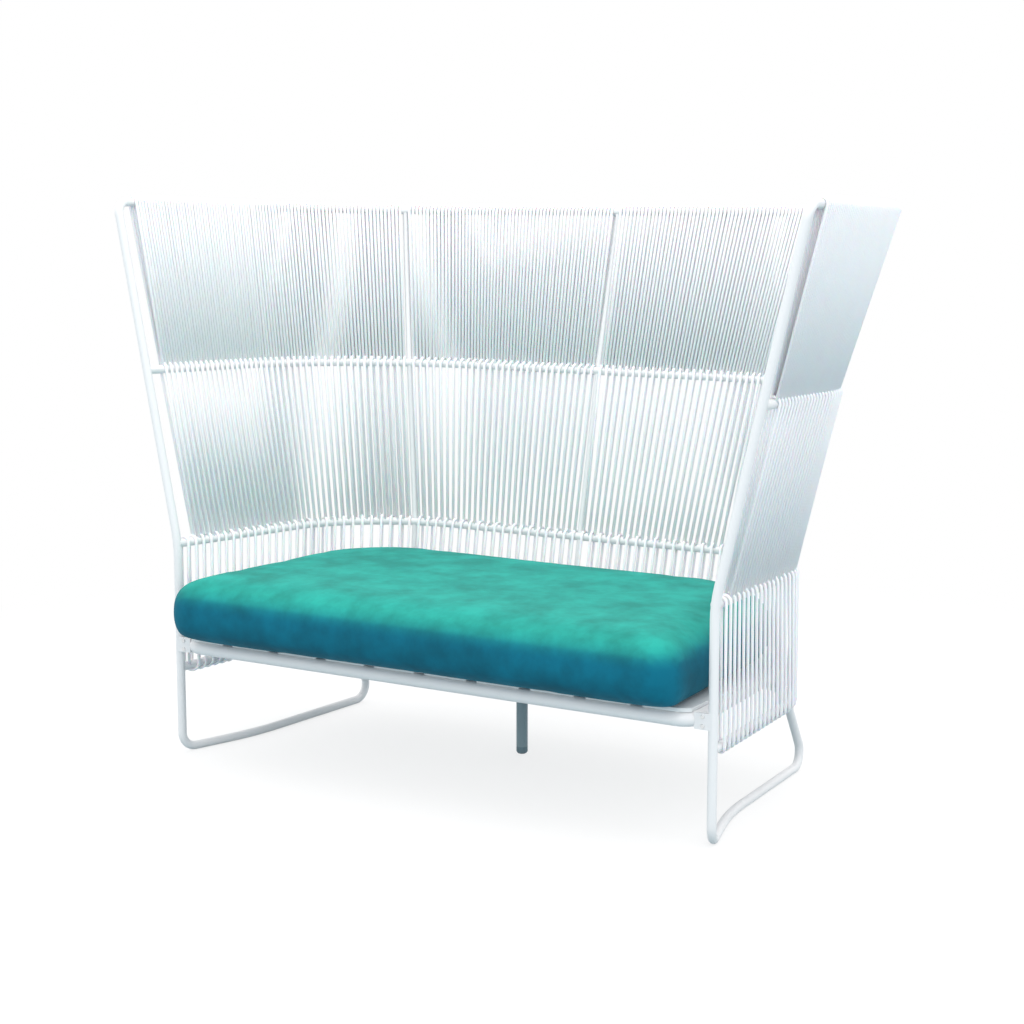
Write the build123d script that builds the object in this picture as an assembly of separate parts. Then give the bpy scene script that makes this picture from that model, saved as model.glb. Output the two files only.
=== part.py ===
from build123d import *
import os
from math import acos, cos, floor, hypot, radians, sin, sqrt, tan

# A high-backed two-seat settee: a bent tube frame wound with cord on the wings and the
# back, a slatted seat deck on a tube loop, and one loose seat cushion.
# Millimetres. +Z is up, +Y runs from the open front to the back. While the pieces are
# drawn, Y is measured from the front legs' axis; they are centred when they are saved.

# Tubes
FRAME_TUBE = 20.0            # outer diameter of posts, runners and cord rails
SEAT_TUBE = 32.0             # outer diameter of the loop that carries the deck
LEG_TUBE = 27.0              # outer diameter of the centre leg and the cross tube
UPRIGHT_TUBE = 14.0          # outer diameter of the back uprights
WALL = 1.6                   # wall of every tube
COPE_GAP = 0.1               # room left where one tube is coped round another

# Side frames
LEG_HALF_SPREAD = 693.6      # front leg axis from the middle
POST_BEND_Z = 503.0          # where the straight leg ends and the leaning post starts
POST_SPREAD = 176.1          # how much wider the post stands at the top rail
POST_RAKE = 20.7             # how much further back it stands there
POST_BEND_R = 300.0
FLOOR_BEND_R = 36.0
RUNNER_BOW = 58.0            # how far the runner's straights are drawn in at the middle
RUNNER_BOW_Y = 200.0
RUNNER_BOW_R = 700.0
RUNNER_END_IN = 82.0         # rear bend from the front leg's line, inward
RUNNER_END_Y = 655.0
REAR_LEG_SHARE = 0.470       # where it meets the bottom rail, as a share of half the rail

# Cord rails: height at the front, back line, toe-in of the wing, corner radius
TOP_RAIL_Z = 1290.0
TOP_RAIL_BACK = 867.0
TOP_RAIL_TOE = 32.7
TOP_RAIL_R = 460.0
MID_RAIL_Z = 902.0
MID_RAIL_BACK = 768.0
MID_RAIL_TOE = 36.0
MID_RAIL_R = 446.0
LOWER_RAIL_Z = 501.0
LOWER_RAIL_BACK = 681.0
LOWER_RAIL_TOE = 52.6
LOWER_RAIL_R = 300.0
BOTTOM_RAIL_Z = 205.0
BOTTOM_RAIL_BACK = 625.0
BOTTOM_RAIL_TOE = 35.6
BOTTOM_RAIL_R = 250.0
RAIL_FALL = 1.68             # degrees that the upper three rails drop toward the back
TOP_BEND_R = 30.0            # bend from the top rail down into the post
TOP_BEND_DROP = 100.0        # length of the bent-down end, to the joint with the post
CORNER_UPRIGHT_SHARE = (0.594, 0.600, 0.610, 0.610)   # from the post, of half a rail

# Cord
CORD = 7.0
CORD_SEAT = 0.1              # room between a cord and the rail that it is wound on
CORD_END = 0.3               # each straight run stops this short of where it turns
# Height above each rail's mid plane where a cord leaves it on the seat side, from the
# top rail down; on the rear side it is as far below
TURN_RISE = (3.0, 3.0, 1.5, 1.5)
# Step between the runs of one face, from the top tier down, on the tier's lower rail
CORD_PITCH = (8.7, 16.0, 24.0)
# Rear runs stand this share of a step past the ones in front of them, on the tier's
# upper and lower rail
REAR_SHIFT = ((0.5, 0.5), (0.5, 0.5), (0.15, 0.25))
POST_MARGIN = 50.0           # first cord from the post axis, upper two tiers
LOWER_POST_MARGIN = 22.0
UPRIGHT_MARGIN = 12.5        # nearest cord from an upright's axis

# Seat
SEAT_TUBE_Z = 263.0
SEAT_FRONT = 13.0            # front tube's axis ahead of the front legs
SEAT_CORD_ROOM = 5.0         # seat loop to the cords round it
SEAT_FRONT_R = 36.0
SEAT_JOINT_Y = 150.0         # where the front tube's ends meet the rear hoop
CENTRE_LEG_Y = 408.0
PLUG_HEIGHT = 18.0
PLUG_ROUND = 8.0
PLUG_STEM = 20.0
PLUG_SLIP = 0.1
SLAT_COUNT = 10
SLAT_GAP = 28.0
SLAT_SIDE = 5.0              # outer slats' edges, inboard of the seat loop's front corners
SLAT_THICK = 8.0
SLAT_OVERHANG = 10.0         # slat ends past the seat loop's axis
SLAT_EDGE = 1.5
SLAT_SEAT = 0.1

# Bracket between the seat loop and the front leg
BRACKET_THICK = 6.0
BRACKET_HEIGHT = 34.0
BRACKET_FRONT = 10.0         # its front face ahead of the legs' axis
SCREW_HEAD = 9.0
SCREW_HEAD_HEIGHT = 3.0
SCREW_SHANK = 5.0
SCREW_SLIP = 0.1
SCREW_SPREAD = 20.0
SCREW_INBOARD = 19.0         # screw axis from the leg's axis

# Cushion
CUSHION_FRONT = 124.0        # ahead of the front legs' axis
CUSHION_HEIGHT = 151.5
CUSHION_SIDE_GAP = 30.6      # half width at the front, short of the legs' axis
CUSHION_REAR_GAP = 19.0      # side line at the back, short of the lower rail's corner
CUSHION_BACK_PAST = 3.0      # past the bottom rail's back line
CUSHION_FRONT_R = 70.0
CUSHION_BACK_R = 255.0
CUSHION_LEAST_R = 8.0
CUSHION_SEAT = 0.3           # room between the cushion and the slats
# Outline of the cushion's side: share of its height, and how far the edge is drawn in
CUSHION_PROFILE = ((0.0, 85.0), (0.02, 63.0), (0.05, 44.0), (0.09, 29.0), (0.145, 17.0),
                   (0.21, 8.0), (0.30, 2.0), (0.40, 0.0), (0.58, 1.0), (0.68, 4.0),
                   (0.76, 9.0), (0.83, 17.0), (0.89, 28.0), (0.94, 45.0), (0.97, 65.0),
                   (0.99, 95.0), (1.0, 135.0))

SIDES = (("left", -1), ("right", 1))


def post_at(height):
    """Point on the post's straight line at a height, right side."""
    share = (height - POST_BEND_Z) / (TOP_RAIL_Z - POST_BEND_Z)
    return Vector(LEG_HALF_SPREAD + POST_SPREAD * share, POST_RAKE * share, height)


class Rail:
    """Half of a cord rail: straight wing, corner bend and half of the straight back.

    The rail lies in one plane, which falls toward the back. Stations run along the
    axis from the post (0) to the middle of the back (length).
    """

    def __init__(self, start, back, toe, radius, fall):
        self.start = start
        self.radius = radius
        self.plane = Plane(origin=(0, start.Y, start.Z), x_dir=(1, 0, 0),
                           z_dir=(0, sin(radians(fall)), cos(radians(fall))))
        reach = (back - start.Y) / cos(radians(fall))
        self.corner = Vector(start.X - toe, reach)
        wing = hypot(toe, reach)
        self.wing_dir = Vector(-toe / wing, reach / wing)
        self.turn = acos(-self.wing_dir.X)
        tangent = radius * tan(self.turn / 2)
        self.wing_length = wing - tangent
        self.arc_length = radius * self.turn
        self.arc_end = Vector(self.corner.X - tangent, reach)
        self.centre = self.arc_end - Vector(0, radius)
        self.length = self.wing_length + self.arc_length + self.arc_end.X

    def local(self, station, inward=0.0):
        """Point and tangent in the rail's own plane, offset toward the seat."""
        if station <= self.wing_length:
            along = self.wing_dir
            point = Vector(self.start.X, 0) + along * station
        elif station <= self.wing_length + self.arc_length:
            left = (self.wing_length + self.arc_length - station) / self.radius
            along = Vector(-cos(left), sin(left))
            point = self.centre + Vector(sin(left), cos(left)) * self.radius
        else:
            along = Vector(-1, 0)
            point = self.arc_end + along * (station - self.wing_length - self.arc_length)
        return point + Vector(-along.Y, along.X) * inward, along

    def at(self, station, side):
        """Point and tangent in space, on the left (-1) or right (1) half."""
        point, along = self.local(station)
        point = self.plane.from_local_coords(Vector(point.X * side, point.Y))
        ahead = self.plane.from_local_coords(Vector(along.X * side, along.Y))
        return point, (ahead - self.plane.origin).normalized()

    def corners(self):
        """The rail's corner points, from the right post round to the left one."""
        ends = [Vector(self.start.X, 0), self.corner]
        ends += [Vector(-p.X, p.Y) for p in reversed(ends)]
        return [self.plane.from_local_coords(p) for p in ends]


def tube(path, diameter):
    """Bent tube along a path."""
    start = Plane(origin=path @ 0, z_dir=path % 0)
    ring = Circle(diameter / 2) - Circle(diameter / 2 - WALL)
    return sweep(start * ring, path=path)


def rod(path, diameter):
    """Solid bar along a path, used to cope the tubes that meet it."""
    start = Plane(origin=path @ 0, z_dir=path % 0)
    return sweep(start * Circle(diameter / 2), path=path)


def mirrored(point, side):
    return Vector(point.X * side, point.Y, point.Z)


top = Rail(post_at(TOP_RAIL_Z), TOP_RAIL_BACK, TOP_RAIL_TOE, TOP_RAIL_R, RAIL_FALL)
mid = Rail(post_at(MID_RAIL_Z), MID_RAIL_BACK, MID_RAIL_TOE, MID_RAIL_R, RAIL_FALL)
lower = Rail(Vector(LEG_HALF_SPREAD, 0, LOWER_RAIL_Z), LOWER_RAIL_BACK,
             LOWER_RAIL_TOE, LOWER_RAIL_R, RAIL_FALL)
bottom = Rail(Vector(LEG_HALF_SPREAD, 0, BOTTOM_RAIL_Z), BOTTOM_RAIL_BACK,
              BOTTOM_RAIL_TOE, BOTTOM_RAIL_R, 0.0)
rails = (top, mid, lower, bottom)
upright_stations = [rail.length * share
                    for rail, share in zip(rails, CORNER_UPRIGHT_SHARE)]

nodes = {}

# ---- side frames: post, front leg, floor runner and rear leg bent from one tube
post_line = (post_at(TOP_RAIL_Z) - post_at(POST_BEND_Z)).normalized()
joint = post_at(TOP_RAIL_Z) - post_line * TOP_BEND_DROP
tube_r = FRAME_TUBE / 2
rear_leg_top, _ = bottom.at(bottom.length * REAR_LEG_SHARE, 1)
frame_points = (
    joint,
    post_at(POST_BEND_Z),
    Vector(LEG_HALF_SPREAD, 0, tube_r),
    Vector(LEG_HALF_SPREAD - RUNNER_BOW, RUNNER_BOW_Y, tube_r),
    Vector(LEG_HALF_SPREAD - RUNNER_END_IN, RUNNER_END_Y, tube_r),
    rear_leg_top,
)
frame_bends = (POST_BEND_R, FLOOR_BEND_R, RUNNER_BOW_R, FLOOR_BEND_R)
bottom_path = FilletPolyline(bottom.corners(), radius=[bottom.radius] * 2)
bottom_cope = rod(bottom_path, FRAME_TUBE + 2 * COPE_GAP)
frame_path = FilletPolyline([mirrored(p, -1) for p in frame_points], radius=frame_bends)
nodes["side_frame_left"] = tube(frame_path, FRAME_TUBE) - bottom_cope
nodes["side_frame_right"] = mirror(nodes["side_frame_left"], about=Plane.YZ)
post_copes = [rod(frame_path, FRAME_TUBE + 2 * COPE_GAP)]
post_copes.append(mirror(post_copes[0], about=Plane.YZ))

# ---- cord rails
top_points = [joint] + top.corners() + [mirrored(joint, -1)]
nodes["top_rail"] = tube(
    FilletPolyline(top_points, radius=(TOP_BEND_R, top.radius, top.radius, TOP_BEND_R)),
    FRAME_TUBE)
for name, rail in (("mid_rail", mid), ("lower_rail", lower), ("bottom_rail", bottom)):
    path = FilletPolyline(rail.corners(), radius=[rail.radius] * 2)
    nodes[name] = tube(path, FRAME_TUBE) - post_copes

# ---- uprights of the back, in lengths between the rails
rail_copes = [rod(FilletPolyline(rail.corners(), radius=[rail.radius] * 2),
                  FRAME_TUBE + 2 * COPE_GAP) for rail in rails]
tiers = ("top", "middle", "lower")
for tier, name in enumerate(tiers):
    for place, side in (("left", -1), ("centre", 0), ("right", 1)):
        ends = []
        for k in (tier, tier + 1):
            station = upright_stations[k] if side else rails[k].length
            ends.append(rails[k].at(station, side or 1)[0])
        nodes[f"upright_{place}_{name}"] = (
            tube(Line(*ends), UPRIGHT_TUBE) - rail_copes[tier] - rail_copes[tier + 1])

# ---- cords: their straight runs, on both faces of the rails
cord_reach = tube_r + CORD_SEAT + CORD / 2


def turn_plane(k, face):
    """Plane in which the cords turn over rail k, on the seat side (1) or behind (-1)."""
    return rails[k].plane.offset(TURN_RISE[k] * face)


def cord_run(tier, spans, shares, side, face):
    """One straight run of a tier between its two rails."""
    ends = []
    for k, (first, last), share in zip((tier, tier + 1), spans, shares):
        ends.append(rails[k].at(first + (last - first) * share, side))
    line = (ends[1][0] - ends[0][0]).normalized()
    axis = []
    for point, along in ends:
        toward = along.cross(line).normalized() * side
        axis.append(point + toward * (face * cord_reach))
    run = (axis[1] - axis[0]).normalized()
    stops = []
    for k, point, way in ((tier, axis[0], 1), (tier + 1, axis[1], -1)):
        turn = turn_plane(k, face)
        slope = abs(run.dot(turn.z_dir))
        level = (point - turn.origin).dot(turn.z_dir)
        trim = CORD_END + CORD / 2 * sqrt(1 - slope ** 2) / slope
        stops.append(point + run * (level / slope + trim * way))
    start, end = stops
    base = Plane(origin=start, z_dir=run)
    return Solid.make_cylinder(CORD / 2, (end - start).length, base)


def bays(tier, post_margin):
    """Cord stations of the wing and back bay on the two rails of a tier."""
    wing, back = [], []
    for k in (tier, tier + 1):
        wing.append((post_margin, upright_stations[k] - UPRIGHT_MARGIN))
        back.append((upright_stations[k] + UPRIGHT_MARGIN,
                     rails[k].length - UPRIGHT_MARGIN))
    return (("wing", wing), ("back", back))


post_margins = (POST_MARGIN, POST_MARGIN, LOWER_POST_MARGIN)
for tier, (pitch, shifts) in enumerate(zip(CORD_PITCH, REAR_SHIFT)):
    for bay, spans in bays(tier, post_margins[tier]):
        steps = floor((spans[1][1] - spans[1][0]) / pitch)
        front = [(i / steps, i / steps) for i in range(steps + 1)]
        rear = [[(i + shift) / steps for shift in shifts] for i in range(steps)]
        for name, side in SIDES:
            runs = [cord_run(tier, spans, shares, side, 1) for shares in front]
            runs += [cord_run(tier, spans, shares, side, -1) for shares in rear]
            nodes[f"cords_{tiers[tier]}_{bay}_{name}"] = Compound(children=runs)

# ---- seat loop: front tube with bent ends, rear hoop, cross tube and centre leg
seat_share = (SEAT_TUBE_Z - BOTTOM_RAIL_Z) / (LOWER_RAIL_Z - BOTTOM_RAIL_Z)
seat_r = SEAT_TUBE / 2
cord_depth = tube_r + CORD_SEAT + CORD


def between(low, high):
    """Value at the seat tube's height, between the bottom and the lower rail."""
    return low + (high - low) * seat_share


seat_inset = cord_depth + SEAT_CORD_ROOM + seat_r
seat_front_x = LEG_HALF_SPREAD - seat_inset
seat_back_x = LEG_HALF_SPREAD - between(BOTTOM_RAIL_TOE, LOWER_RAIL_TOE) - seat_inset
seat_back_y = between(BOTTOM_RAIL_BACK, LOWER_RAIL_BACK) - seat_inset
seat_back_r = between(BOTTOM_RAIL_R, LOWER_RAIL_R) - seat_inset


def seat_side(y):
    """Axis of the seat loop's side at a distance behind the front legs."""
    share = (y + SEAT_FRONT) / (seat_back_y + SEAT_FRONT)
    return seat_front_x + (seat_back_x - seat_front_x) * share


def loop_point(x, y):
    return Vector(x, y, SEAT_TUBE_Z)


split_x = seat_side(SEAT_JOINT_Y)
front_corner = loop_point(seat_front_x, -SEAT_FRONT)
back_corner = loop_point(seat_back_x, seat_back_y)
front_path = FilletPolyline(
    [loop_point(-split_x, SEAT_JOINT_Y), mirrored(front_corner, -1), front_corner,
     loop_point(split_x, SEAT_JOINT_Y)], radius=[SEAT_FRONT_R] * 2)
hoop_path = FilletPolyline(
    [loop_point(split_x, SEAT_JOINT_Y), back_corner, mirrored(back_corner, -1),
     loop_point(-split_x, SEAT_JOINT_Y)], radius=[seat_back_r] * 2)
nodes["seat_front_tube"] = tube(front_path, SEAT_TUBE)
nodes["seat_hoop"] = tube(hoop_path, SEAT_TUBE)
loop_copes = [rod(p, SEAT_TUBE + 2 * COPE_GAP) for p in (front_path, hoop_path)]

leg_r = LEG_TUBE / 2
cross_z = SEAT_TUBE_Z + seat_r - leg_r
cross_x = seat_side(CENTRE_LEG_Y)
cross_line = Line((-cross_x, CENTRE_LEG_Y, cross_z), (cross_x, CENTRE_LEG_Y, cross_z))
nodes["seat_cross_tube"] = tube(cross_line, LEG_TUBE) - loop_copes[1]
leg_line = Line((0, CENTRE_LEG_Y, PLUG_HEIGHT), (0, CENTRE_LEG_Y, cross_z))
nodes["centre_leg"] = (tube(leg_line, LEG_TUBE)
                       - rod(cross_line, LEG_TUBE + 2 * COPE_GAP))
plug_base = Pos(0, CENTRE_LEG_Y, PLUG_HEIGHT / 2) * Cylinder(leg_r, PLUG_HEIGHT)
plug_base = fillet(plug_base.edges().group_by(Axis.Z)[0], PLUG_ROUND)
plug_stem = Cylinder(leg_r - WALL - PLUG_SLIP, PLUG_STEM)
nodes["leg_plug"] = plug_base + Pos(0, CENTRE_LEG_Y, PLUG_HEIGHT + PLUG_STEM / 2) * plug_stem

# ---- seat deck: flat slats laid front to back on the loop
slat_z = SEAT_TUBE_Z + seat_r + SLAT_SEAT
deck_points = [(seat_front_x + SLAT_OVERHANG, -SEAT_FRONT - SLAT_OVERHANG),
               (seat_back_x + SLAT_OVERHANG, seat_back_y + SLAT_OVERHANG)]
deck_points += [(-x, y) for x, y in reversed(deck_points)]
deck_corners = [SEAT_FRONT_R + SLAT_OVERHANG, seat_back_r + SLAT_OVERHANG]
deck_corners += deck_corners[::-1]
deck_edge = FilletPolyline(deck_points, radius=deck_corners, close=True)
deck = Pos(0, 0, slat_z) * extrude(make_face(deck_edge), SLAT_THICK)
deck_depth = seat_back_y + SEAT_FRONT + 4 * SLAT_OVERHANG
deck_middle = (seat_back_y - SEAT_FRONT) / 2
slat_pitch = (2 * (seat_front_x - SLAT_SIDE) + SLAT_GAP) / SLAT_COUNT
for i in range(SLAT_COUNT):
    x = (i - (SLAT_COUNT - 1) / 2) * slat_pitch
    blank = Box(slat_pitch - SLAT_GAP, deck_depth, SLAT_THICK)
    blank = fillet(blank.edges().filter_by(Axis.Y), SLAT_EDGE)
    blank = Pos(x, deck_middle, slat_z + SLAT_THICK / 2) * blank
    nodes[f"slat_{i + 1:02d}"] = blank & deck

# ---- brackets and their screws, from the loop's front corners to the front legs
screws = []
for (name, side), post_cope in zip(SIDES, post_copes):
    width = seat_inset
    block = Box(width, BRACKET_THICK, BRACKET_HEIGHT)
    centre_x = LEG_HALF_SPREAD - width / 2
    block = Pos(side * centre_x, BRACKET_THICK / 2 - BRACKET_FRONT, SEAT_TUBE_Z) * block
    block = block - post_cope - loop_copes[0]
    for end in (-1, 1):
        axis = Plane(origin=(side * (LEG_HALF_SPREAD - SCREW_INBOARD), -BRACKET_FRONT,
                             SEAT_TUBE_Z + end * SCREW_SPREAD / 2), z_dir=(0, 1, 0))
        hole = Solid.make_cylinder(SCREW_SHANK / 2 + SCREW_SLIP, BRACKET_THICK, axis)
        block = block - hole
        shank = Solid.make_cylinder(SCREW_SHANK / 2, BRACKET_THICK, axis)
        head_plane = Plane(origin=axis.origin, z_dir=(0, -1, 0))
        head = Solid.make_cylinder(SCREW_HEAD / 2, SCREW_HEAD_HEIGHT, head_plane)
        head = fillet(head.edges().group_by(Axis.Y)[0], SCREW_HEAD_HEIGHT / 2)
        screws.append(head + shank)
    nodes[f"seat_bracket_{name}"] = block
nodes["bracket_screws"] = Compound(children=screws)

# ---- cushion: one loose pad with drawn-in edges and a crowned top
cushion_z = slat_z + SLAT_THICK + CUSHION_SEAT
cushion_front_x = LEG_HALF_SPREAD - CUSHION_SIDE_GAP
cushion_back_x = LEG_HALF_SPREAD - LOWER_RAIL_TOE - CUSHION_REAR_GAP
cushion_back_y = BOTTOM_RAIL_BACK + CUSHION_BACK_PAST
sections = []
for share, inset in CUSHION_PROFILE:
    outline = [(cushion_front_x - inset, -CUSHION_FRONT + inset),
               (cushion_back_x - inset, cushion_back_y - inset)]
    outline += [(-x, y) for x, y in reversed(outline)]
    rounds = [max(CUSHION_FRONT_R - inset, CUSHION_LEAST_R), CUSHION_BACK_R - inset]
    rounds += rounds[::-1]
    edge = FilletPolyline(outline, radius=rounds, close=True)
    sections.append(Pos(0, 0, cushion_z + share * CUSHION_HEIGHT) * make_face(edge))
nodes["seat_cushion"] = loft(sections, ruled=True)

# ---- centre the settee over its own footprint and save one file per piece
whole = Compound(children=[Compound(children=list(shape.solids()))
                           for shape in nodes.values()]).bounding_box()
middle = Pos(0, -(whole.min.Y + whole.max.Y) / 2, 0)
print("size", [round(v, 2) for v in whole.size], "middle", round(middle.position.Y, 3))
os.makedirs("parts", exist_ok=True)
for name, shape in nodes.items():
    export_step(middle * Compound(children=list(shape.solids())), f"parts/{name}.step")
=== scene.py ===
import math
import random

import bmesh
import bpy
from bpy.props import FloatProperty, FloatVectorProperty, IntProperty, PointerProperty
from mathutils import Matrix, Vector


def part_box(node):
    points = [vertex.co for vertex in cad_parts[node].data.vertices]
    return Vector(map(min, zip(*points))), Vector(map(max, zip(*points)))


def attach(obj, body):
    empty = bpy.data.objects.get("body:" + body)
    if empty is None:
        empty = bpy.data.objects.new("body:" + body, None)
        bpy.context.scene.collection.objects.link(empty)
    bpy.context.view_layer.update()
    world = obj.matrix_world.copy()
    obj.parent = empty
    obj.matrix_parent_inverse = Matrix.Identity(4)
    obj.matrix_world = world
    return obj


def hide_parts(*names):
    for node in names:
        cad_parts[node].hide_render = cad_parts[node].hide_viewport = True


bl_info = {
    "name": "High back settee",
    "version": (1, 0, 0),
    "blender": (4, 5, 0),
    "location": "View3D > Sidebar > Settee",
    "description": "Cord winding, cushion, finishes and studio for the high back settee",
    "category": "Object",
}

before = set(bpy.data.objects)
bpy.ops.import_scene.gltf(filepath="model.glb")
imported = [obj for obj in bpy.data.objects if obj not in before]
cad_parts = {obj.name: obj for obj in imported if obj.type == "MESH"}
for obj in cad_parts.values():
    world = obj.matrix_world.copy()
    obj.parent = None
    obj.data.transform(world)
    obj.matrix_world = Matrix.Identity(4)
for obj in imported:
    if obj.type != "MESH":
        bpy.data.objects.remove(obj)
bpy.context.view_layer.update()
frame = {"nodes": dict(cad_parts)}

SIDES = (("left", -1), ("right", 1))
TIERS = ("top", "middle", "lower")


# ---------------------------------------------------------------- sizes and colours
def srgb(hex_code):
    """Linear colour with alpha from an sRGB hex code."""
    channels = [int(hex_code[i:i + 2], 16) / 255 for i in (0, 2, 4)]
    linear = [c / 12.92 if c <= 0.04045 else ((c + 0.055) / 1.055) ** 2.4 for c in channels]
    return (*linear, 1.0)


def length(name, description, default):
    return FloatProperty(name=name, description=description, default=default,
                         unit="LENGTH", subtype="DISTANCE")


def colour(name, description, hex_code):
    return FloatVectorProperty(name=name, description=description, size=4, min=0, max=1,
                               default=srgb(hex_code), subtype="COLOR")


class SetteeCord(bpy.types.PropertyGroup):
    """Sizes of the cord winding."""
    diameter: length("Cord diameter", "Thickness of the cord", 0.0070)
    top_pitch: length("Top pitch", "Least step of the closely packed top tier", 0.0087)
    middle_pitch: length("Middle pitch", "Least step of the middle tier", 0.0160)
    lower_pitch: length("Lower pitch", "Least step of the lower tier", 0.0240)
    tuck: length("Tuck", "Runs from a rail's axis where they tuck in behind it", 0.0060)
    stray: length("Stray", "How far a hand-wound run strays from its place", 0.0005)
    colour: colour("Cord", "Pale extruded cord", "FBF9FC")


class SetteeCushion(bpy.types.PropertyGroup):
    """Sizes and colours of the seat cushion."""
    voxel: length("Voxel", "Size of the remeshed faces", 0.010)
    shrink: length("Shrink", "How much smaller the cover starts", 0.004)
    travel: length("Travel", "The most that the cover may move when it fills", 0.007)
    fullness: length("Fullness", "How far the foam pushes the ends' lower edge out", 0.045)
    frames: IntProperty(name="Frames", description="Steps of the filling", default=20)
    pressure: FloatProperty(name="Pressure", description="Filling pressure", default=4.0)
    colour: colour("Fabric", "Turquoise woven cover", "22968A")
    # The same fabric colour made darker and bluer: painted shade on the cushion's sides
    painted_shade: colour("Fabric side", "The same cover where the weave stands upright", "016077")


class SetteeFinish(bpy.types.PropertyGroup):
    """Colours of the hard parts and of the studio."""
    frame: colour("Frame", "White powder coat", "E7E6E7")
    slat: colour("Slat", "White powder coat of the deck", "E0E2E3")
    # The centre leg is coloured a darker grey-blue than the white frame
    leg: colour("Leg", "Grey powder coat of the centre leg", "869BA3")
    plug: colour("Plug", "Grey moulded foot", "6F858E")
    screw: colour("Screw", "Zinc plated steel", "DADDDE")
    floor: colour("Floor", "White of the studio floor and backdrop", "FFFFFF")
    floor_white: FloatProperty(name="Floor white", description="Plain white in the floor",
                               default=0.75, min=0.0, max=1.0)
    bounce: colour("Bounce", "What the floor throws back", "8FA6AE")
    horizon: colour("Horizon", "The room low down, all round", "EEF2F4")


# ---------------------------------------------------------------- materials
def material(name):
    """A new node material with only its Principled shader and its output."""
    mat = bpy.data.materials.new(name)
    mat.use_nodes = True
    return mat


def node(mat, kind, links=(), **values):
    """Adds a node. values are properties or inputs, links are (input, source socket)."""
    made = mat.node_tree.nodes.new(kind)
    for key, value in values.items():
        if key in made.bl_rna.properties:
            setattr(made, key, value)
        else:
            made.inputs[key.replace("_", " ")].default_value = value
    for key, source in links:
        mat.node_tree.links.new(source, made.inputs[key])
    return made


def principled(mat, **values):
    shader = mat.node_tree.nodes["Principled BSDF"]
    for key, value in values.items():
        shader.inputs[key.replace("_", " ")].default_value = value
    return shader


def powder_coat(name, base, roughness):
    """Polyester powder baked on steel: fine orange peel breaks up the highlight."""
    mat = material(name)
    shader = principled(mat, Base_Color=base, Roughness=roughness, IOR=1.5)
    spot = node(mat, "ShaderNodeTexCoord").outputs["Object"]
    # 2 mm ripples, 0.02 mm deep: the highlight on a tube is soft, never mirror-like
    peel = node(mat, "ShaderNodeTexNoise", [("Vector", spot)], Scale=500.0, Detail=2.0)
    bump = node(mat, "ShaderNodeBump", [("Height", peel.outputs["Fac"])],
                Strength=0.15, Distance=0.00002)
    mat.node_tree.links.new(bump.outputs["Normal"], shader.inputs["Normal"])
    return mat


def cord_material(base):
    """Extruded PVC cord: smooth, slightly waxy, with small changes of tone along it."""
    mat = material("extruded cord, pale")
    shader = principled(mat, Roughness=0.5, IOR=1.5, Subsurface_Weight=0.3,
                        Subsurface_Scale=0.006)
    spot = node(mat, "ShaderNodeTexCoord").outputs["Object"]
    # 60 mm patches: neighbouring runs differ a little in tone, as hand-wound cord does
    patch = node(mat, "ShaderNodeTexNoise", [("Vector", spot)], Scale=16.0, Detail=3.0)
    tone = node(mat, "ShaderNodeMapRange", [("Value", patch.outputs["Fac"])],
                To_Min=0.96, To_Max=1.03)
    mix = node(mat, "ShaderNodeVectorMath", [(1, tone.outputs["Result"])],
               operation="MULTIPLY")
    mix.inputs[0].default_value = base[:3]
    mat.node_tree.links.new(mix.outputs["Vector"], shader.inputs["Base Color"])
    return mat


def fabric_material(top, side):
    """Woven outdoor polyester with a short pile. The sides get a darker, bluer colour than
    the top panel: painted shade, blended in by which way the surface faces."""
    mat = material("woven outdoor fabric, turquoise")
    shader = principled(mat, Roughness=0.9, IOR=1.45,
                        Specular_IOR_Level=0.25, Sheen_Weight=0.05,
                        Sheen_Roughness=0.5, Sheen_Tint=(0.55, 0.95, 0.88, 1.0))
    nodes = mat.node_tree
    coord = node(mat, "ShaderNodeTexCoord")
    split = node(mat, "ShaderNodeSeparateXYZ", [("Vector", coord.outputs["Normal"])])
    # Painted light and shade: faces turned up take the top colour, faces turned sideways the
    # darker painted shade
    painted_light_mix = node(mat, "ShaderNodeMapRange", [("Value", split.outputs["Z"])],
               interpolation_type="SMOOTHSTEP", From_Min=0.1, From_Max=0.95)
    base = node(mat, "ShaderNodeMix", [("Factor", painted_light_mix.outputs["Result"])],
                data_type="RGBA")
    base.inputs[6].default_value = side
    base.inputs[7].default_value = top
    # 80 mm clouds where the pile was brushed by use
    cloud = node(mat, "ShaderNodeTexNoise", [("Vector", coord.outputs["Object"])],
                 Scale=12.0, Detail=5.0, Roughness=0.6)
    tone = node(mat, "ShaderNodeMapRange", [("Value", cloud.outputs["Fac"])],
                From_Min=0.34, From_Max=0.66, To_Min=0.76, To_Max=1.18)
    mix = node(mat, "ShaderNodeVectorMath", [(0, base.outputs[2]),
               (1, tone.outputs["Result"])], operation="MULTIPLY")
    nodes.links.new(mix.outputs["Vector"], shader.inputs["Base Color"])
    # 1.6 mm weave, 0.15 mm high: the surface is matt and grainy up close
    weave = node(mat, "ShaderNodeTexVoronoi", [("Vector", coord.outputs["Object"])],
                 Scale=620.0)
    bump = node(mat, "ShaderNodeBump", [("Height", weave.outputs["Distance"])],
                Strength=0.5, Distance=0.00015)
    nodes.links.new(bump.outputs["Normal"], shader.inputs["Normal"])
    return mat


def background_seen(mat):
    """Output that is 1 for rays that should meet the plain white background, else 0."""
    path = node(mat, "ShaderNodeLightPath")
    seen = node(mat, "ShaderNodeMath", [(0, path.outputs["Is Camera Ray"]),
                (1, path.outputs["Is Glossy Ray"])], operation="MAXIMUM")
    seen = node(mat, "ShaderNodeMath", [(0, seen.outputs["Value"]),
                (1, path.outputs["Is Transmission Ray"])], operation="MAXIMUM")
    return seen.outputs["Value"]


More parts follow.
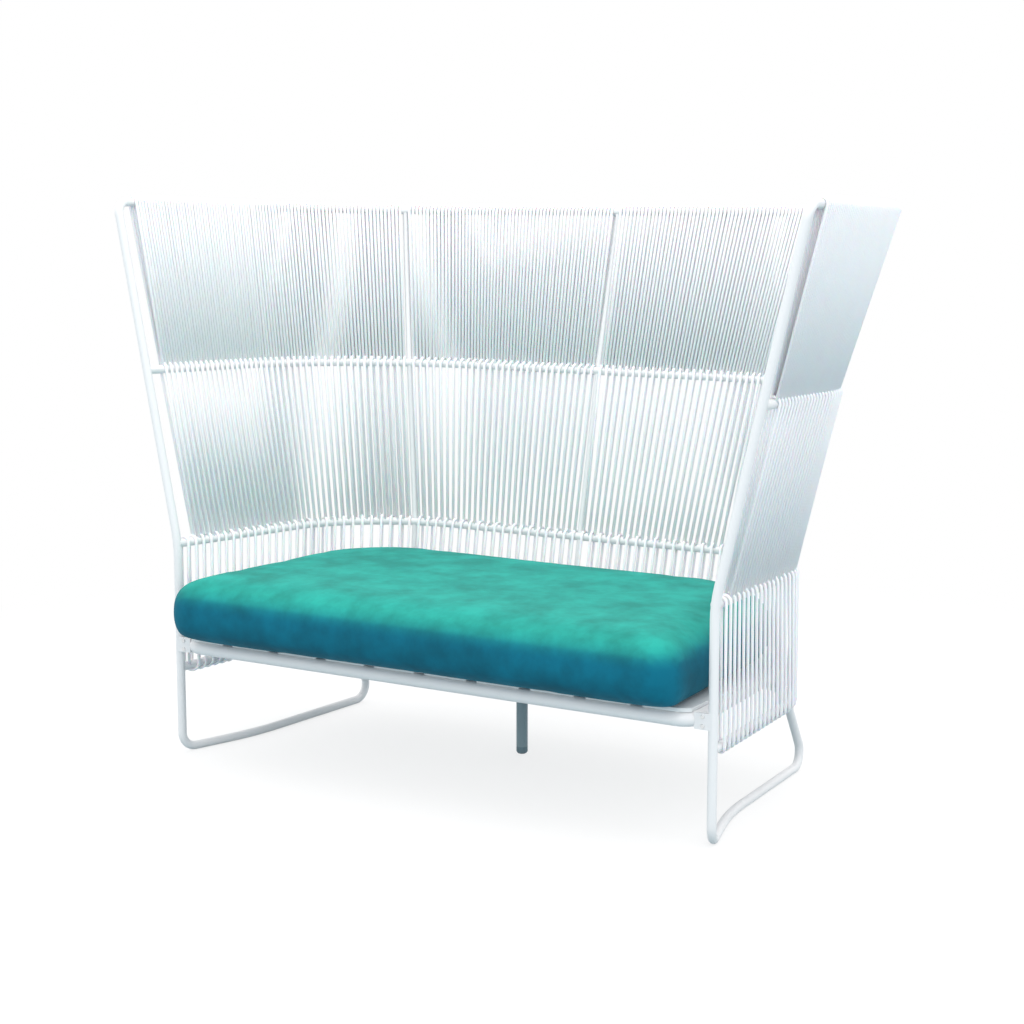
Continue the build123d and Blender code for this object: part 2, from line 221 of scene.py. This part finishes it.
def paint(obj, mat):
    """Gives an object one material."""
    obj.data.materials.clear()
    obj.data.materials.append(mat)


# ---------------------------------------------------------------- rails
# The cords follow the tube rails of the frame, so their lines are stated here again,
# in metres, on the right half. y is measured from the front legs' axis.
LEG_Y = -0.37965
TUBE_RADIUS = 0.010
POST_FOOT = Vector((0.6936, 0.0, 0.503))
POST_HEAD = Vector((0.8697, 0.0207, 1.290))
RAIL_FALL = math.radians(1.68)
# height at the front, back line, toe-in, corner radius, fall, corner upright's share
RAIL_LINES = (
    (1.290, 0.867, 0.0327, 0.460, RAIL_FALL, 0.594),
    (0.902, 0.768, 0.0360, 0.446, RAIL_FALL, 0.600),
    (0.501, 0.681, 0.0526, 0.300, RAIL_FALL, 0.610),
    (0.205, 0.625, 0.0356, 0.250, 0.0, 0.610),
)
UPRIGHT_MARGIN = 0.0125
POST_MARGINS = (0.050, 0.050, 0.022)   # first cord from the post, from the top tier down
# How far a rear run stands past its front run, in steps, on the upper and lower rail
REAR_SHIFT = ((0.5, 0.5), (0.5, 0.5), (0.15, 0.25))


class Rail:
    """Half of a cord rail: straight wing, corner bend and half of the straight back."""

    def __init__(self, height, back, toe, radius, fall, share):
        run = max((height - POST_FOOT.z) / (POST_HEAD.z - POST_FOOT.z), 0.0)
        foot = POST_FOOT.lerp(POST_HEAD, run)
        self.x, self.y, self.z, self.fall = foot.x, foot.y, height, fall
        reach = (back - foot.y) / math.cos(fall)
        wing = math.hypot(toe, reach)
        self.wing_dir = Vector((-toe / wing, reach / wing))
        self.radius = radius
        turn = math.acos(toe / wing)
        tangent = radius * math.tan(turn / 2)
        self.wing = wing - tangent
        self.arc = radius * turn
        self.arc_end = Vector((foot.x - toe - tangent, reach))
        self.length = self.wing + self.arc + self.arc_end.x
        self.upright = self.length * share

    def at(self, station, side):
        """Point, direction along, direction toward the seat and up, all in space."""
        if station <= self.wing:
            along = self.wing_dir
            flat = Vector((self.x, 0)) + along * station
        elif station <= self.wing + self.arc:
            left = (self.wing + self.arc - station) / self.radius
            along = Vector((-math.cos(left), math.sin(left)))
            flat = self.arc_end + Vector((math.sin(left), math.cos(left) - 1)) * self.radius
        else:
            along = Vector((-1, 0))
            flat = self.arc_end + along * (station - self.wing - self.arc)
        inward = Vector((-along.y, along.x))
        out = []
        for v in (flat, along, inward):
            out.append(Vector((v.x * side, v.y * math.cos(self.fall),
                               -v.y * math.sin(self.fall))))
        point = out[0] + Vector((0, self.y + LEG_Y, self.z))
        up = Vector((0, math.sin(self.fall), math.cos(self.fall)))
        return point, out[1], out[2], up


RAILS = [Rail(*line) for line in RAIL_LINES]


def bay_spans(tier, bay):
    """First and last cord station of a bay, on the tier's upper and on its lower rail."""
    rails = RAILS[tier:tier + 2]
    if bay == "wing":
        return [(POST_MARGINS[tier], rail.upright - UPRIGHT_MARGIN) for rail in rails]
    return [(rail.upright + UPRIGHT_MARGIN, rail.length - UPRIGHT_MARGIN) for rail in rails]


# ---------------------------------------------------------------- cord meshes
class TubeMesh:
    """Collects round tubes, given as rings, into one mesh."""

    def __init__(self):
        self.points = []
        self.faces = []

    def add(self, rings):
        """Adds one tube. Each ring is a list of as many points; the ends are closed."""
        start = len(self.points)
        count = len(rings[0])
        for ring in rings:
            self.points.extend(ring)
        for i in range(len(rings) - 1):
            a = start + i * count
            for j in range(count):
                k = (j + 1) % count
                self.faces.append((a + j, a + k, a + count + k, a + count + j))
        last = start + (len(rings) - 1) * count
        self.faces.append(tuple(range(start + count - 1, start - 1, -1)))
        self.faces.append(tuple(range(last, last + count)))

    def build(self, name):
        data = bpy.data.meshes.new(name)
        data.from_pydata(self.points, [], self.faces)
        data.validate()
        mesh = bmesh.new()
        mesh.from_mesh(data)
        bmesh.ops.recalc_face_normals(mesh, faces=mesh.faces)
        mesh.to_mesh(data)
        mesh.free()
        data.polygons.foreach_set("use_smooth", [True] * len(data.polygons))
        obj = bpy.data.objects.new(name, data)
        bpy.context.scene.collection.objects.link(obj)
        return obj


def wheel(count):
    """Points spread evenly round a circle of radius 1."""
    return [(math.cos(2 * math.pi * j / count), math.sin(2 * math.pi * j / count))
            for j in range(count)]


ROUND = wheel(8)
TURN_STEPS = 7


def add_cord(tubes, line, radius):
    """A length of cord along (point, reference direction across it) pairs."""
    rings = []
    for i, (point, across) in enumerate(line):
        before = line[max(i - 1, 0)][0]
        after = line[min(i + 1, len(line) - 1)][0]
        ahead = (after - before).normalized()
        out = across.cross(ahead).normalized()
        beside = ahead.cross(out)
        rings.append([point + (out * c + beside * s) * radius for c, s in ROUND])
    tubes.add(rings)


def turn_over(k, side, first, last, radius, way):
    """Half a turn round rail k from the seat side to the rear: over it (1) or under."""
    points = []
    for i in range(TURN_STEPS + 1):
        share = i / TURN_STEPS
        point, along, inward, up = RAILS[k].at(first + (last - first) * share, side)
        angle = math.pi * share
        out = inward * math.cos(angle) + up * (way * math.sin(angle))
        points.append((point + out * (TUBE_RADIUS + radius), along))
    return points


def wind(tier, bay, name, side, sizes, mat):
    """One bay of one tier. Each cord climbs the seat side, turns over the upper rail and
    comes down the rear, a part of a step further on. At the lower rail it tucks in; the
    last tier goes on under the bottom rail, as one length of cord."""
    chance = random.Random(f"{tier} {bay} {name}")
    radius = sizes.diameter / 2
    pitch = (sizes.top_pitch, sizes.middle_pitch, sizes.lower_pitch)[tier]
    above, below = bay_spans(tier, bay)
    bottom = tier == len(TIERS) - 1
    steps = int((below[1] - below[0]) / pitch)
    stray = sizes.stray / (above[1] - above[0])
    shares = [i / steps + chance.uniform(-stray, stray) for i in range(steps + 1)]
    tubes = TubeMesh()

    def station(span, share):
        return span[0] + (span[1] - span[0]) * share

    def foot(share, face):
        """End of a run at the lower rail, and the rail's direction there."""
        point, along, inward, _ = RAILS[tier + 1].at(station(below, share), side)
        return point + inward * (face * sizes.tuck), along

    route = [foot(shares[0], 1)]
    for share, after in zip(shares, shares[1:]):
        high, low = [share + (after - share) * shift for shift in REAR_SHIFT[tier]]
        over = turn_over(tier, side, station(above, share), station(above, high),
                         radius, 1)
        if bottom:
            under = turn_over(tier + 1, side, station(below, after), station(below, low),
                              radius, -1)
            route += over + under[::-1]
        else:
            add_cord(tubes, [foot(share, 1)] + over + [foot(low, -1)], radius)
    last = station(above, shares[-1])
    tail = turn_over(tier, side, last, last, radius, 1)
    if bottom:
        add_cord(tubes, route + tail, radius)
    else:
        add_cord(tubes, [foot(shares[-1], 1)] + tail, radius)
    obj = tubes.build(f"cord_{TIERS[tier]}_{bay}_{name}")
    paint(obj, mat)
    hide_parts(f"cords_{TIERS[tier]}_{bay}_{name}")
    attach(obj, "frame")
    return obj


# ---------------------------------------------------------------- operators
class SETTEE_OT_finish_frame(bpy.types.Operator):
    """Coat the tubes, slats, brackets, screws and plug"""
    bl_idname = "settee.finish_frame"
    bl_label = "Finish the frame"

    def execute(self, context):
        look = context.scene.settee_finish
        coat = powder_coat("powder coat on steel tube, white", look.frame, 0.38)
        deck = powder_coat("powder coat on flat slat, white", look.slat, 0.45)
        # The centre leg gets a darker grey-blue than the white tubes
        grey = powder_coat("powder coat on steel tube, grey", look.leg, 0.45)
        zinc = material("zinc plated screw")
        principled(zinc, Base_Color=look.screw, Metallic=1.0, Roughness=0.35)
        foot = material("moulded polyethylene foot, grey")
        principled(foot, Base_Color=look.plug, Roughness=0.6, IOR=1.5)
        for name, obj in frame["nodes"].items():
            if name.startswith("slat"):
                paint(obj, deck)
            elif name == "bracket_screws":
                paint(obj, zinc)
            elif name == "leg_plug":
                paint(obj, foot)
            elif name == "centre_leg":
                paint(obj, grey)
            elif not name.startswith(("cords", "seat_cushion")):
                paint(obj, coat)
        return {"FINISHED"}


class SETTEE_OT_wind_cords(bpy.types.Operator):
    """Wind the three tiers of cord between the rails"""
    bl_idname = "settee.wind_cords"
    bl_label = "Wind the cords"

    def execute(self, context):
        sizes = context.scene.settee_cord
        mat = cord_material(sizes.colour)
        for tier in range(len(TIERS)):
            for bay in ("wing", "back"):
                for name, side in SIDES:
                    wind(tier, bay, name, side, sizes, mat)
        return {"FINISHED"}


class SETTEE_OT_fill_cushion(bpy.types.Operator):
    """Make the seat cushion's cover and fill it"""
    bl_idname = "settee.fill_cushion"
    bl_label = "Fill the cushion"
    full_share = 0.3        # of the cushion's height, where the fuller lower edge ends
    cloth_mass = 0.35       # kg, for each point of the cover
    cloth_quality = 6
    padding = 0.85          # share of the cover that the foam fills
    smoothing = 3

    def execute(self, context):
        sizes = context.scene.settee_cushion
        cad = frame["nodes"]["seat_cushion"]
        low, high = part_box("seat_cushion")
        obj = bpy.data.objects.new("cushion_cover", cad.data.copy())
        context.scene.collection.objects.link(obj)
        obj.matrix_world = cad.matrix_world.copy()
        context.view_layer.update()
        obj.data.transform(obj.matrix_world)
        obj.matrix_world.identity()
        middle = (Vector(low) + Vector(high)) / 2
        for vertex in obj.data.vertices:
            for axis in range(3):
                reach = (high[axis] - low[axis]) / 2
                offset = vertex.co[axis] - middle[axis]
                vertex.co[axis] = middle[axis] + offset * (reach - sizes.shrink) / reach
            # The foam is firm: the lower edge of both ends stands out fuller
            share = (vertex.co.z - low[2]) / (high[2] - low[2])
            push = sizes.fullness * max(1 - share / self.full_share, 0.0) ** 2
            vertex.co.x += math.copysign(push, vertex.co.x)
        remesh = obj.modifiers.new("Remesh", "REMESH")
        remesh.mode = "VOXEL"
        remesh.voxel_size = sizes.voxel
        self.apply(context, obj)
        start = [v.co.copy() for v in obj.data.vertices]
        self.fill(context, obj, sizes)
        floor = low[2]
        for vertex, home in zip(obj.data.vertices, start):
            move = vertex.co - home
            if move.length > sizes.travel:
                vertex.co = home + move.normalized() * sizes.travel
            vertex.co.z = max(vertex.co.z, floor)
        smooth = obj.modifiers.new("Smooth", "SMOOTH")
        smooth.factor = 0.5
        smooth.iterations = self.smoothing
        subdivide = obj.modifiers.new("Subdivide", "SUBSURF")
        subdivide.levels = subdivide.render_levels = 1
        self.apply(context, obj)
        obj.data.polygons.foreach_set("use_smooth", [True] * len(obj.data.polygons))
        paint(obj, fabric_material(sizes.colour, sizes.painted_shade))
        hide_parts("seat_cushion")
        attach(obj, "cushion")
        return {"FINISHED"}

    def apply(self, context, obj):
        """Applies all the modifiers of an object to its mesh."""
        context.view_layer.update()
        evaluated = obj.evaluated_get(context.evaluated_depsgraph_get())
        data = bpy.data.meshes.new_from_object(evaluated)
        obj.modifiers.clear()
        obj.data = data

    def fill(self, context, obj, sizes):
        """Blows the cover up with cloth pressure, so that it rounds out and creases."""
        cloth = obj.modifiers.new("Cloth", "CLOTH")
        cloth.settings.quality = self.cloth_quality
        cloth.settings.mass = self.cloth_mass
        cloth.settings.use_pressure = True
        cloth.settings.uniform_pressure_force = sizes.pressure
        cloth.settings.effector_weights.gravity = 0.0
        cloth.point_cache.frame_start = 1
        cloth.point_cache.frame_end = sizes.frames
        scene = context.scene
        for step in range(1, sizes.frames + 1):
            scene.frame_set(step)
        self.apply(context, obj)
        scene.frame_set(1)


class SETTEE_OT_set_studio(bpy.types.Operator):
    """Add the floor, the soft lights, the surroundings and the camera"""
    bl_idname = "settee.set_studio"
    bl_label = "Set the studio"
    floor_size = 60.0
    floor_near = 0.9         # from the middle, where the floor starts to fade to white
    floor_far = 2.4
    room_strength = 1.35
    room_top = 0.7           # sine of the height above the horizon where the room is white
    # name, place, turn in degrees, side of the square, watts
    lamps = (
        ("overhead_softbox", (0.0, -0.2, 3.6), (0, 0, 0), 3.4, 34.0),
        ("front_fill", (1.2, -4.2, 2.4), (62, 0, 16), 2.6, 36.0),
        ("side_fill", (4.2, -0.6, 2.2), (62, 0, 80), 2.6, 15.0),
    )
    camera_place = (2.402, -3.565 + LEG_Y, 1.298)
    camera_down = 8.82       # degrees below the horizon
    camera_turn = 31.45      # degrees round from straight in front
    camera_lens = 71.09      # mm, on a 36 mm sensor
    camera_sensor = 36.0
    camera_reach = 100.0

    def execute(self, context):
        look = context.scene.settee_finish
        self.floor(look)
        self.surroundings(context.scene, look)
        for lamp in self.lamps:
            self.lamp(*lamp)
        self.camera(context.scene)
        context.scene.view_settings.view_transform = "Standard"
        return {"FINISHED"}

    def floor(self, look):
        data = bpy.data.meshes.new("floor")
        half = self.floor_size / 2
        data.from_pydata([(-half, -half, 0), (half, -half, 0), (half, half, 0),
                          (-half, half, 0)], [], [(0, 1, 2, 3)])
        obj = bpy.data.objects.new("floor", data)
        bpy.context.scene.collection.objects.link(obj)
        mat = material("matt studio floor, pale")
        shader = principled(mat, Roughness=1.0, Specular_IOR_Level=0.0)
        seen = background_seen(mat)
        mix = node(mat, "ShaderNodeMix", [("Factor", seen)], data_type="RGBA")
        mix.inputs[6].default_value = look.bounce
        mix.inputs[7].default_value = look.floor
        mat.node_tree.links.new(mix.outputs[2], shader.inputs["Base Color"])
        # The floor fades into the white behind it; near the settee it keeps its shadow
        spot = node(mat, "ShaderNodeTexCoord").outputs["Object"]
        reach = node(mat, "ShaderNodeVectorMath", [(0, spot)], operation="LENGTH")
        fade = node(mat, "ShaderNodeMapRange", [("Value", reach.outputs["Value"])],
                    interpolation_type="SMOOTHSTEP", From_Min=self.floor_near,
                    From_Max=self.floor_far, To_Min=look.floor_white, To_Max=1.0)
        part = node(mat, "ShaderNodeMath", [(0, fade.outputs["Result"]), (1, seen)],
                    operation="MULTIPLY")
        plain = node(mat, "ShaderNodeEmission", Color=look.floor)
        blend = node(mat, "ShaderNodeMixShader", [("Fac", part.outputs["Value"]),
                     (1, shader.outputs["BSDF"]), (2, plain.outputs["Emission"])])
        out = mat.node_tree.nodes["Material Output"]
        mat.node_tree.links.new(blend.outputs["Shader"], out.inputs["Surface"])
        obj.data.materials.append(mat)

    def surroundings(self, scene, look):
        """Pale room: bright above, cooler and dimmer toward the horizon; white behind."""
        world = bpy.data.worlds.new("studio")
        scene.world = world
        world.use_nodes = True
        world.node_tree.nodes.clear()
        coord = node(world, "ShaderNodeTexCoord")
        split = node(world, "ShaderNodeSeparateXYZ", [("Vector", coord.outputs["Generated"])])
        ramp = node(world, "ShaderNodeValToRGB", [("Fac", split.outputs["Z"])])
        low, high = ramp.color_ramp.elements
        low.color = look.horizon
        high.position = self.room_top
        high.color = look.floor
        room = node(world, "ShaderNodeBackground", [("Color", ramp.outputs["Color"])],
                    Strength=self.room_strength)
        back = node(world, "ShaderNodeBackground", Color=look.floor)
        mix = node(world, "ShaderNodeMixShader", [("Fac", background_seen(world)),
                   (1, room.outputs["Background"]), (2, back.outputs["Background"])])
        node(world, "ShaderNodeOutputWorld", [("Surface", mix.outputs["Shader"])])

    def lamp(self, name, place, turn, size, power):
        data = bpy.data.lights.new(name, "AREA")
        data.shape = "SQUARE"
        data.size = size
        data.energy = power
        obj = bpy.data.objects.new(name, data)
        obj.location = place
        obj.rotation_euler = [math.radians(angle) for angle in turn]
        bpy.context.scene.collection.objects.link(obj)

    def camera(self, scene):
        data = bpy.data.cameras.new("camera")
        data.sensor_width = self.camera_sensor
        data.lens = self.camera_lens
        data.clip_end = self.camera_reach
        obj = bpy.data.objects.new("camera", data)
        obj.location = self.camera_place
        obj.rotation_euler = (math.radians(90 - self.camera_down), 0,
                              math.radians(self.camera_turn))
        scene.collection.objects.link(obj)
        scene.camera = obj


class SETTEE_PT_panel(bpy.types.Panel):
    """Sizes, colours and steps of the settee"""
    bl_label = "High back settee"
    bl_idname = "SETTEE_PT_panel"
    bl_space_type = "VIEW_3D"
    bl_region_type = "UI"
    bl_category = "Settee"

    def draw(self, context):
        for group in ("settee_cord", "settee_cushion", "settee_finish"):
            settings = getattr(context.scene, group)
            box = self.layout.box()
            for key in settings.__annotations__:
                box.prop(settings, key)
        for operator in OPERATORS:
            self.layout.operator(operator.bl_idname)


OPERATORS = (SETTEE_OT_finish_frame, SETTEE_OT_wind_cords, SETTEE_OT_fill_cushion,
             SETTEE_OT_set_studio)
GROUPS = (("settee_cord", SetteeCord), ("settee_cushion", SetteeCushion),
          ("settee_finish", SetteeFinish))


def register():
    for name, group in GROUPS:
        bpy.utils.register_class(group)
        setattr(bpy.types.Scene, name, PointerProperty(type=group))
    for cls in OPERATORS + (SETTEE_PT_panel,):
        bpy.utils.register_class(cls)


def unregister():
    for cls in (SETTEE_PT_panel,) + OPERATORS[::-1]:
        bpy.utils.unregister_class(cls)
    for name, group in GROUPS[::-1]:
        delattr(bpy.types.Scene, name)
        bpy.utils.unregister_class(group)


def main():
    register()
    bpy.ops.settee.finish_frame()
    bpy.ops.settee.wind_cords()
    bpy.ops.settee.fill_cushion()
    bpy.ops.settee.set_studio()


if __name__ == "__main__":
    main()
